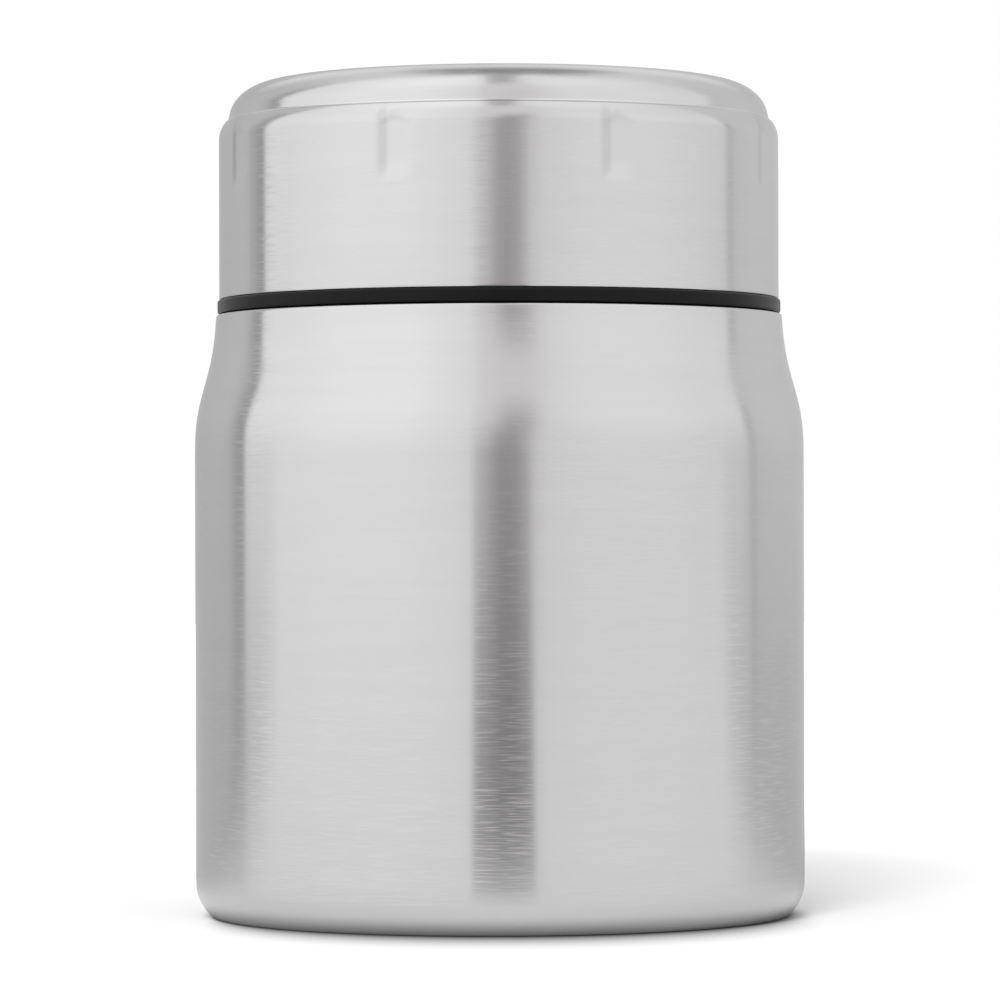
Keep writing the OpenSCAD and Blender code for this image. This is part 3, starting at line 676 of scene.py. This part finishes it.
flange_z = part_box("lid_liner")[0].z
liner_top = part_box("lid_liner")[1].z
flange_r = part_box("lid_liner")[1].x
gasket_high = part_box("lid_gasket")[1]
lip_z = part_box("inner_vessel")[1].z
liner_out_r = cup_r - cup_sheet - 0.1 * mm
root_r = liner_out_r - 2.4 * mm
upper_r = 43.9 * mm
liner_wall = 1.7 * mm
liner_step = lip_z + 0.8 * mm
liner_thread_z = neck_thread_z - lid_pitch / 2
groove_in_r = root_r + 0.75 * mm
groove_out_r = gasket_high.x + 0.1 * mm
groove_z = gasket_high.z + 0.1 * mm
ceiling_z = liner_top - liner_wall
flange_low = flange_z + 0.07 * mm
liner_outside = rounded([
    (root_r, flange_z),
    (groove_in_r, flange_z),
    (groove_in_r, groove_z),
    (groove_out_r, groove_z),
    (groove_out_r, flange_z),
    (groove_out_r + 0.1 * mm, flange_low),
    (flange_r, flange_low, 0.55 * mm),
    (flange_r, cup_z, 0.5 * mm),
    (liner_out_r, cup_z),
    (liner_out_r, liner_step + liner_wall, 1 * mm),
    (upper_r, liner_step + liner_wall, 0.5 * mm),
    (upper_r, liner_top, 5 * mm),
    (0, liner_top),
])
liner_inside = rounded([
    (0, ceiling_z),
    (upper_r - liner_wall, ceiling_z, 3.3 * mm),
    (upper_r - liner_wall, liner_step, 0.6 * mm),
    (root_r, liner_step, 0.4 * mm),
    (root_r, flange_z),
])[:-1]
liner_inside.append(np.array((root_r, flange_z + 0.1 * mm)))
liner_inside = finer(liner_inside, flange_z, liner_step, thread_step)
liner_form = threaded(-thread_depth, liner_thread_z, lid_pitch, (110, 254), root_r)
liner = turned("lid_insert", liner_outside + liner_inside, thread_turns, liner_form)
black_plastic = plastic("black_plastic", (0.0035, 0.0035, 0.0036), 0.32, gloss=0.15)
fitted(liner, "lid", "lid_liner", black_plastic)

# ---- Inner vessel ------------------------------------------------------------------------------
# The steel vessel that holds the food, drawn and spun from one sheet and polished to a satin: a
# round floor corner, a throat with a ledge for the stopper's seal, a bore with a rolled thread,
# and a lip that is rolled over to the outside and welded to the shell's neck.
vessel_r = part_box("inner_vessel")[1].x
floor_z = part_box("inner_vessel")[0].z
ledge_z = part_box("stopper_gasket")[0].z
bore_r = neck_r - 3.4 * mm
throat_r = bore_r - 4.4 * mm
bore_thread_z = ledge_z + 4.4 * mm
stopper_pitch = 4 * mm
vessel_outside = rounded([
    (0, floor_z),
    (vessel_r, floor_z, 9 * mm),
    (vessel_r, jar_z - 20.7 * mm, 12 * mm),
    (throat_r + sheet, ledge_z - 8 * mm, 6 * mm),
    (throat_r + sheet, ledge_z - sheet, 0.6 * mm),
    (bore_r + sheet, ledge_z - sheet, 1 * mm),
    (bore_r + sheet, lip_z - sheet, 1.05 * mm),
    (neck_r - sheet, lip_z - sheet, 1.05 * mm),
    (neck_r - sheet, weld_z),
])
vessel_inside = beside(vessel_outside, sheet)[::-1]
vessel_inside = finer(vessel_inside, ledge_z + 1 * mm, lip_z - 2 * mm, thread_step)
bore_form = threaded(-thread_depth, bore_thread_z, stopper_pitch, (40, 170), bore_r)
vessel = turned("food_vessel", vessel_outside + vessel_inside, thread_turns, bore_form)
vessel_steel = steel("vessel_steel", (0.6, 0.595, 0.585), 0.27, 0.5, line=0.4 * mm, uneven=0.05)
fitted(vessel, "jar", "inner_vessel", vessel_steel)

# ---- Base pan ----------------------------------------------------------------------------------
# The steel disc that closes the jacket from below, welded on the shell's turned-in edge. Around
# the evacuation hole a dimple is pressed up, so that the seal stays clear of the base disc.
pan_low, pan_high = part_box("base_pan")
dimple_z = pan_low.z + 1.6 * mm
dimple_r = 6 * mm
evac_r = 1.2 * mm
pan_outline = rounded([
    (evac_r, dimple_z),
    (dimple_r - sheet, dimple_z, 0.6 * mm),
    (dimple_r, pan_low.z, 0.5 * mm),
    (pan_high.x, pan_low.z),
    (pan_high.x, pan_low.z + sheet),
    (dimple_r + sheet / 2, pan_low.z + sheet, 0.6 * mm),
    (dimple_r - sheet / 2, dimple_z + sheet, 0.5 * mm),
    (evac_r, dimple_z + sheet),
])
pan = turned("jacket_floor", pan_outline, even_turns(128))
plain_steel = steel("plain_steel", (0.55, 0.54, 0.53), 0.36, 0.3, line=1.2 * mm, uneven=0.08)
fitted(pan, "jar", "base_pan", plain_steel)

# ---- Base disc ---------------------------------------------------------------------------------
# The thin steel disc that is bonded into the base's recess and hides the seal. It is brushed on a
# lathe, and two shallow rings are rolled into it to keep it flat.
disc_low, disc_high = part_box("base_disc")
disc_r = disc_high.x
rolled_rings = (24 * mm, 33 * mm)
ring_depth, ring_half = 0.12 * mm, 1.4 * mm
disc_outline = [np.array((0, disc_low.z))]
for ring_r in rolled_rings:
    for share in np.linspace(-1, 1, 9):
        lift = ring_depth * (1 + math.cos(math.pi * share)) / 2
        disc_outline.append(np.array((ring_r + ring_half * share, disc_low.z + lift)))
disc_outline += rounded([
    (rolled_rings[-1] + 2 * mm, disc_low.z),
    (disc_r, disc_low.z, 0.25 * mm),
    (disc_r, disc_high.z, 0.1 * mm),
    (0, disc_high.z),
])
disc = turned("bottom_disc", disc_outline, even_turns(192))
base_steel = steel("base_steel", (0.58, 0.575, 0.57), 0.22, 0.8, line=0.35 * mm, streak=9 * mm)
fitted(disc, "jar", "base_disc", base_steel)

# ---- Vacuum seal -------------------------------------------------------------------------------
# The bead of sealing glass that melted into the evacuation hole in the vacuum oven and hangs
# below it as a smooth drop.
bead_r = 3 * mm
bead_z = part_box("vacuum_seal")[0].z
bead_outline = rounded([
    (0, bead_z),
    (bead_r - 0.4 * mm, bead_z, 1.1 * mm),
    (bead_r, dimple_z, 0.2 * mm),
    (evac_r - 0.1 * mm, dimple_z, 0.1 * mm),
    (evac_r - 0.1 * mm, dimple_z + sheet, 0.2 * mm),
    (0, dimple_z + sheet),
])
bead = turned("glass_bead", bead_outline, even_turns(64))
bead_glass, tree, shader = blank("solder_glass")
swirl = {"Vector": position(tree), "Scale": 900, "Detail": 3}
swirl = wire(tree, "ShaderNodeTexNoise", swirl).outputs["Fac"]
plug(tree, shader, {
    "Base Color": tinted(tree, (0.16, 0.19, 0.2), ramp(tree, swirl, 0.35, 0.65, 0.8, 1.2)),
    "Roughness": ramp(tree, swirl, 0.3, 0.7, 0.04, 0.12),
    "Transmission Weight": 0.35,
    "IOR": 1.6,
})
fitted(bead, "jar", "vacuum_seal", bead_glass)

# ---- Getter ------------------------------------------------------------------------------------
# The sintered metal pellet that binds what gas is left in the jacket: dull grey, with the grain
# of its pressed powder and slightly broken edges.
getter_low, getter_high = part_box("getter")
getter_r = (getter_high.x - getter_low.x) / 2
getter_x = (getter_high.x + getter_low.x) / 2
getter_outline = rounded([
    (0, getter_low.z),
    (getter_r, getter_low.z, 0.25 * mm),
    (getter_r, getter_high.z, 0.25 * mm),
    (0, getter_high.z),
])
pellet = turned("getter_pellet", getter_outline, even_turns(64))
pellet.data.transform(Matrix.Translation((getter_x, 0, 0)))


def powder(name, colour, roughness, grain, depth, metal=0.0, gloss=0.5):
    """A surface of round grains: pressed powder, or the beads of a foam."""
    made, tree, shader = blank(name)
    cells = {"Vector": position(tree), "Scale": 1 / grain}
    cells = wire(tree, "ShaderNodeTexVoronoi", cells).outputs["Distance"]
    bump = {"Height": cells, "Distance": depth, "Strength": 1}
    # Each grain is painted darker towards its edge, where the bump sinks it: painted shade between
    # the grains.
    plug(tree, shader, {
        "Base Color": tinted(tree, colour, ramp(tree, cells, 0.2, 0.8, 1.05, 0.85)),
        "Roughness": ramp(tree, cells, 0.2, 0.8, roughness - 0.05, roughness + 0.05),
        "Normal": wire(tree, "ShaderNodeBump", bump, invert=True).outputs["Normal"],
        "Metallic": metal,
        "Specular IOR Level": gloss,
    })
    return made


getter_metal = powder("getter_metal", (0.3, 0.29, 0.28), 0.65, 0.25 * mm, 0.04 * mm, metal=1.0)
fitted(pellet, "jar", "getter", getter_metal)

# ---- Getter strap ------------------------------------------------------------------------------
# The bent strip of thin steel over the getter, spot-welded to the base pan at both feet. It keeps
# the frame's shape: a strip this thin has no roundings worth drawing.
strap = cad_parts["getter_strap"]
strap_colour = (0.55, 0.54, 0.53)
strap_steel = steel("strap_steel", strap_colour, 0.34, 0.3, line=0.3 * mm, streak=2 * mm, uneven=0.05)
strap.data.materials.clear()
strap.data.materials.append(strap_steel)

# ---- Radiation foil ----------------------------------------------------------------------------
# The thin copper foil wrapped once round the vessel to send its heat back. It is soft, so it is
# crinkled all over from being wound by hand.
foil_low, foil_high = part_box("radiation_foil")
foil_r = foil_high.x
foil_in_r = vessel_r + 0.3 * mm
foil_outline = [
    np.array((foil_in_r, foil_low.z)),
    np.array((foil_r, foil_low.z)),
    np.array((foil_r, foil_high.z)),
    np.array((foil_in_r, foil_high.z)),
]
foil = turned("copper_wrap", foil_outline, even_turns(256))
foil_metal, tree, shader = blank("copper_foil")
place = position(tree)
creases = {"Vector": place, "Scale": 220, "Detail": 3, "Roughness": 0.6, "Distortion": 0.6}
creases = wire(tree, "ShaderNodeTexNoise", creases).outputs["Fac"]
folds = {"Vector": place, "Scale": 90}
folds = wire(tree, "ShaderNodeTexVoronoi", folds, feature="DISTANCE_TO_EDGE").outputs["Distance"]
height = calc(tree, "ADD", creases, ramp(tree, folds, 0, 0.2, 0, 0.6))
bump = wire(tree, "ShaderNodeBump", {"Height": height, "Distance": 0.5 * mm, "Strength": 0.8})
# The foil is painted lighter on the crests of its crinkles and darker in their hollows: painted light
# and shade.
plug(tree, shader, {
    "Base Color": tinted(tree, (0.72, 0.42, 0.28), ramp(tree, creases, 0.3, 0.7, 0.9, 1.06)),
    "Roughness": ramp(tree, creases, 0.3, 0.7, 0.2, 0.34),
    "Normal": bump.outputs["Normal"],
    "Metallic": 1,
})
fitted(foil, "jar", "radiation_foil", foil_metal)

# ---- Lid insulation ----------------------------------------------------------------------------
# The disc of white bead foam between the liner's ceiling and the steel crown. It is cut from a
# sheet and laid in before the cup is pushed on.
foam_low, foam_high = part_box("lid_insulation")
foam_outline = rounded([
    (0, foam_low.z),
    (foam_high.x, foam_low.z, 0.4 * mm),
    (foam_high.x, foam_high.z, 0.4 * mm),
    (0, foam_high.z),
])
lid_foam = turned("lid_foam_disc", foam_outline, even_turns(128))
foam = powder("foam", (0.86, 0.84, 0.76), 0.8, 2.2 * mm, 0.25 * mm, gloss=0.3)
fitted(lid_foam, "lid", "lid_insulation", foam)

# ---- Lid gasket --------------------------------------------------------------------------------
# The dark silicone ring in the groove under the lid's flange. It sits on the jar's shoulder, with
# its corners rounded by the mould.
gasket_in_r = groove_in_r + 0.1 * mm
gasket_outline = rounded([
    (gasket_in_r + 0.4 * mm, jar_z),
    (gasket_high.x, jar_z, 0.3 * mm),
    (gasket_high.x, gasket_high.z, 0.3 * mm),
    (gasket_in_r, gasket_high.z, 0.3 * mm),
    (gasket_in_r, jar_z, 0.3 * mm),
    (gasket_in_r + 0.4 * mm, jar_z),
])[:-1]
gasket = turned("lid_seal_ring", gasket_outline, even_turns(192))
dark_silicone = plastic("dark_silicone", (0.06, 0.06, 0.062), 0.6, size=0.15 * mm, gloss=0.4)
fitted(gasket, "lid_seal", "lid_gasket", dark_silicone)

# ---- Stopper body ------------------------------------------------------------------------------
# The screw stopper's black plastic body: a floor with a lip that holds the seal ring, a side with
# the thread, a flange over the neck's lip, and the tube for the vent inside. It hangs in the neck.
stopper_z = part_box("stopper_body")[0].z
deck_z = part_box("stopper_body")[1].z
stopper_flange_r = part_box("stopper_body")[1].x
seal_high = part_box("stopper_gasket")[1]
body_r = seal_high.x
spigot_r = 32.1 * mm
stopper_wall = 1.6 * mm
shelf_z = seal_high.z + stopper_wall
rim_z = lip_z + 0.3 * mm
stopper_floor = stopper_z + 1.8 * mm
stopper_thread_z = bore_thread_z - stopper_pitch / 2
chamber_r, tube_r = 5.5 * mm, 7 * mm
stem_hole_r = 2.7 * mm
stopper_outside = rounded([
    (stem_hole_r, stopper_z),
    (spigot_r + 0.8 * mm, stopper_z, 0.25 * mm),
    (spigot_r + 0.8 * mm, ledge_z - 0.3 * mm, 0.15 * mm),
    (spigot_r, ledge_z - 0.3 * mm),
    (spigot_r, seal_high.z),
    (body_r, seal_high.z, 0.3 * mm),
    (body_r, rim_z, 0.3 * mm),
    (stopper_flange_r, rim_z, 0.5 * mm),
    (stopper_flange_r, deck_z, 0.2 * mm),
    (body_r - stopper_wall, deck_z),
])
stopper_outside = finer(stopper_outside, seal_high.z + 0.5 * mm, rim_z - 0.5 * mm, thread_step)
stopper_inside = rounded([
    (body_r - stopper_wall, deck_z - 0.1 * mm),
    (body_r - stopper_wall, shelf_z, 0.5 * mm),
    (spigot_r - stopper_wall, shelf_z, 0.3 * mm),
    (spigot_r - stopper_wall, stopper_floor, 0.5 * mm),
    (tube_r, stopper_floor, 0.3 * mm),
    (tube_r, deck_z - 0.3 * mm, 0.2 * mm),
    (chamber_r, deck_z - 0.3 * mm, 0.2 * mm),
    (chamber_r, stopper_floor),
    (stem_hole_r, stopper_floor),
])
stopper_form = threaded(thread_depth, stopper_thread_z, stopper_pitch, (90, 200), body_r)
stopper = turned("stopper_shell", stopper_outside + stopper_inside, thread_turns, stopper_form)
fitted(stopper, "stopper", "stopper_body", black_plastic)

# ---- Stopper cap -------------------------------------------------------------------------------
# The dark grey cover that is welded on the stopper: a deck, a collar round the vent button, and a
# raised rim with thirty finger notches, by which the stopper is turned.
cap_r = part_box("stopper_cap")[1].x
cap_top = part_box("stopper_cap")[1].z
cap_z = deck_z + 1.8 * mm
rib_r = body_r - stopper_wall - 0.3 * mm
rib_z = deck_z - 1.2 * mm
grip_in_r = cap_r - 4.6 * mm
well_r = 8.3 * mm
collar_top = deck_z + 3.9 * mm
cap_outline = rounded([
    (well_r, deck_z),
    (rib_r - 1.6 * mm, deck_z),
    (rib_r - 1.6 * mm, rib_z, 0.2 * mm),
    (rib_r, rib_z, 0.2 * mm),
    (rib_r, deck_z),
    (cap_r, deck_z, 0.2 * mm),
    (cap_r, cap_top, 1.2 * mm),
    (grip_in_r, cap_top, 1.2 * mm),
    (grip_in_r, cap_z, 1.5 * mm),
    (well_r + 2.2 * mm, cap_z, 1 * mm),
    (well_r + 2.2 * mm, collar_top, 0.6 * mm),
    (well_r, collar_top, 0.4 * mm),
    (well_r, deck_z + 0.1 * mm),
])
notch_count = 30
notch_r, notch_depth, notch_rim = 2 * mm, 0.8 * mm, 0.2 * mm
notch_turns = 2 * math.pi / notch_count * np.arange(notch_count)
notch_sector = np.radians([-6, -5, -4, -3.2, *np.linspace(-2.8, 2.8, 11), 3.2, 4, 5])
cap_turns = np.concatenate([turn + notch_sector for turn in notch_turns])


def groove(radius, turns, centre, out, tool_r, soft):
    """A radius for each column, where a round tool with its middle at out is pressed in at the
    angle centre. soft rounds the rims of the groove."""
    turn = (turns - centre + math.pi) % (2 * math.pi) - math.pi
    reach = tool_r**2 - (out * np.sin(turn)) ** 2
    face = out * np.cos(turn) - np.sqrt(np.maximum(reach, 0))
    face = np.where((reach > 0) & (np.abs(turn) < 1), face, out)
    blend = np.maximum(soft - np.abs(radius - face), 0)
    return np.minimum(radius, face) - blend**2 / (4 * soft)


def notched(radius, height):
    radii = np.full(len(cap_turns), radius)
    if radius < cap_r - 2 * mm:
        return radii
    for centre in notch_turns:
        radii = groove(radii, cap_turns, centre, cap_r + notch_r - notch_depth, notch_r, notch_rim)
    return radii


cover = turned("stopper_cover", cap_outline, cap_turns, notched)
grey_plastic = plastic("grey_plastic", (0.045, 0.045, 0.048), 0.45, gloss=0.4)
fitted(cover, "stopper", "stopper_cap", grey_plastic)

# ---- Stopper insulation ------------------------------------------------------------------------
# The ring of white bead foam that fills the stopper between its tube and its side. It is laid in
# before the cover is welded on.
fill_low, fill_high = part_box("stopper_insulation")
fill_in_r = tube_r + 0.3 * mm
fill_outline = rounded([
    (fill_in_r, fill_low.z),
    (fill_high.x, fill_low.z, 0.4 * mm),
    (fill_high.x, fill_high.z, 0.4 * mm),
    (fill_in_r, fill_high.z),
])
fill = turned("stopper_foam_ring", fill_outline, even_turns(128))
fitted(fill, "stopper", "stopper_insulation", foam)

# ---- Stopper gasket ----------------------------------------------------------------------------
# The milky silicone ring that seals on the vessel's ledge. It is stretched over the stopper's lip
# into its seat and can be taken off for washing.
seal_in_r = spigot_r + 0.3 * mm
seal_outline = rounded([
    (seal_in_r + 0.6 * mm, ledge_z),
    (body_r, ledge_z, 0.5 * mm),
    (body_r, seal_high.z, 0.3 * mm),
    (seal_in_r, seal_high.z, 0.3 * mm),
    (seal_in_r, ledge_z, 0.3 * mm),
    (seal_in_r + 0.6 * mm, ledge_z),
])[:-1]
seal = turned("stopper_seal_ring", seal_outline, even_turns(192))
milky = (0.78, 0.78, 0.76)
clear_silicone = plastic("clear_silicone", milky, 0.42, size=0.2 * mm, gloss=0.4, clear=0.25)
fitted(seal, "stopper_seal", "stopper_gasket", clear_silicone)

# ---- Vent button -------------------------------------------------------------------------------
# The smooth grey button in the middle of the stopper: a head with a raised rim and a dish for the
# fingertip, on a guide that slides in the stopper's tube. It is pressed on the stem.
button_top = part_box("vent_button")[1].z
hub_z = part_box("vent_button")[0].z
button_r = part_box("vent_button")[1].x
head_z = button_top - 3 * mm
guide_r = 5.2 * mm
stem_r = 2.4 * mm
dish_z = button_top - 0.6 * mm
button_outline = rounded([
    (stem_r + 0.05 * mm, hub_z),
    (guide_r, hub_z, 0.3 * mm),
    (guide_r, head_z, 0.4 * mm),
    (button_r, head_z, 0.3 * mm),
    (button_r, button_top, 0.8 * mm),
    (button_r - 1.8 * mm, button_top, 0.6 * mm),
    (button_r - 2.4 * mm, dish_z, 0.6 * mm),
    (0, dish_z),
    (0, hub_z + 6 * mm),
    (stem_r + 0.05 * mm, hub_z + 6 * mm),
])
button = turned("press_button", button_outline, even_turns(96))
button_plastic = plastic("button_plastic", (0.17, 0.175, 0.18), 0.25, depth=0.004 * mm, gloss=0.5)
fitted(button, "vent", "vent_button", button_plastic)

# ---- Vent stem ---------------------------------------------------------------------------------
# The turned steel pin of the vent. Its top is pressed into the button, and near its foot a groove
# takes the retainer under the valve.
stem_low, stem_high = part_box("vent_stem")
keeper_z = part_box("vent_retainer")[0].z
valve_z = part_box("vent_valve")[0].z
stem_groove_r = stem_r - 0.6 * mm
stem_outline = rounded([
    (0, stem_low.z),
    (stem_r - 0.4 * mm, stem_low.z, 0.2 * mm),
    (stem_r, stem_low.z + 0.4 * mm, 0.2 * mm),
    (stem_r, keeper_z),
    (stem_groove_r, keeper_z),
    (stem_groove_r, valve_z),
    (stem_r, valve_z),
    (stem_r, stem_high.z, 0.2 * mm),
    (0, stem_high.z),
])
stem = turned("vent_pin", stem_outline, even_turns(64))
pin_colour = (0.6, 0.6, 0.6)
turned_steel = steel("turned_steel", pin_colour, 0.18, 0.6, line=0.2 * mm, streak=6 * mm, uneven=0.06)
fitted(stem, "vent", "vent_stem", turned_steel)

# ---- Vent spring -------------------------------------------------------------------------------
# The wound steel wire round the stem that lifts the button again. Its first and last coils lie
# closed.
wire_r = 0.35 * mm
coil_r = (stem_r + chamber_r) / 2
spring_low, spring_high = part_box("vent_spring")
coils, per_turn, sides = 6, 40, 12
steps = np.arange(coils * per_turn + 1) / per_turn
closed = 0.77 * mm
free = spring_high.z - spring_low.z - 2 * wire_r
heights = np.interp(steps, [0, 1, coils - 1, coils], [0, closed, free - closed, free])
heights += spring_low.z + wire_r
angle, around = np.meshgrid(steps * 2 * math.pi, even_turns(sides), indexing="ij")
out = coil_r + wire_r * np.cos(around)
points = [out * np.cos(angle), out * np.sin(angle), heights[:, None] + wire_r * np.sin(around)]
points = np.stack(points, axis=2).reshape(-1, 3)
faces, places = [], []
long = len(steps)
used = 0.9  # share of a coil's row on the map, so that the rows keep apart
for i in range(long - 1):
    for k in range(sides):
        n = (k + 1) % sides
        faces.append([i * sides + k, i * sides + n, (i + 1) * sides + n, (i + 1) * sides + k])
        row, column = i // per_turn, i % per_turn
        for across, along in ((k, 0), (k + 1, 0), (k + 1, 1), (k, 1)):
            places += [(column + along) / per_turn, (row + used * across / sides) / coils]
faces.append(list(range(sides))[::-1])
places += [0.0, 1.0] * sides
faces.append([(long - 1) * sides + k for k in range(sides)])
places += [1.0, 1.0] * sides
spring = solid("wound_spring", points.tolist(), faces, places, 50)
fitted(spring, "vent", "vent_spring", turned_steel)
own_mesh(spring)

# ---- Vent valve --------------------------------------------------------------------------------
# The milky silicone washer under the stopper's floor that closes the vent's hole. It turns with
# the stem and is held by the retainer.
valve_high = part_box("vent_valve")[1]
valve_in_r = stem_r + 0.1 * mm
valve_outline = rounded([
    (valve_in_r, valve_z),
    (valve_high.x, valve_z, 0.5 * mm),
    (valve_high.x, valve_high.z, 0.2 * mm),
    (valve_in_r, valve_high.z),
])
valve = turned("vent_washer", valve_outline, even_turns(96))
fitted(valve, "vent", "vent_valve", clear_silicone)

# ---- Vent retainer -----------------------------------------------------------------------------
# The spring steel ring that snaps into the stem's groove and carries the valve. It is stamped and
# turned smooth.
keeper_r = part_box("vent_retainer")[1].x
keeper_in_r = stem_groove_r + 0.05 * mm
keeper_outline = rounded([
    (keeper_in_r, keeper_z),
    (keeper_r, keeper_z, 0.2 * mm),
    (keeper_r, valve_z, 0.1 * mm),
    (keeper_in_r, valve_z),
])
keeper = turned("valve_keeper", keeper_outline, even_turns(96))
fitted(keeper, "vent", "vent_retainer", turned_steel)
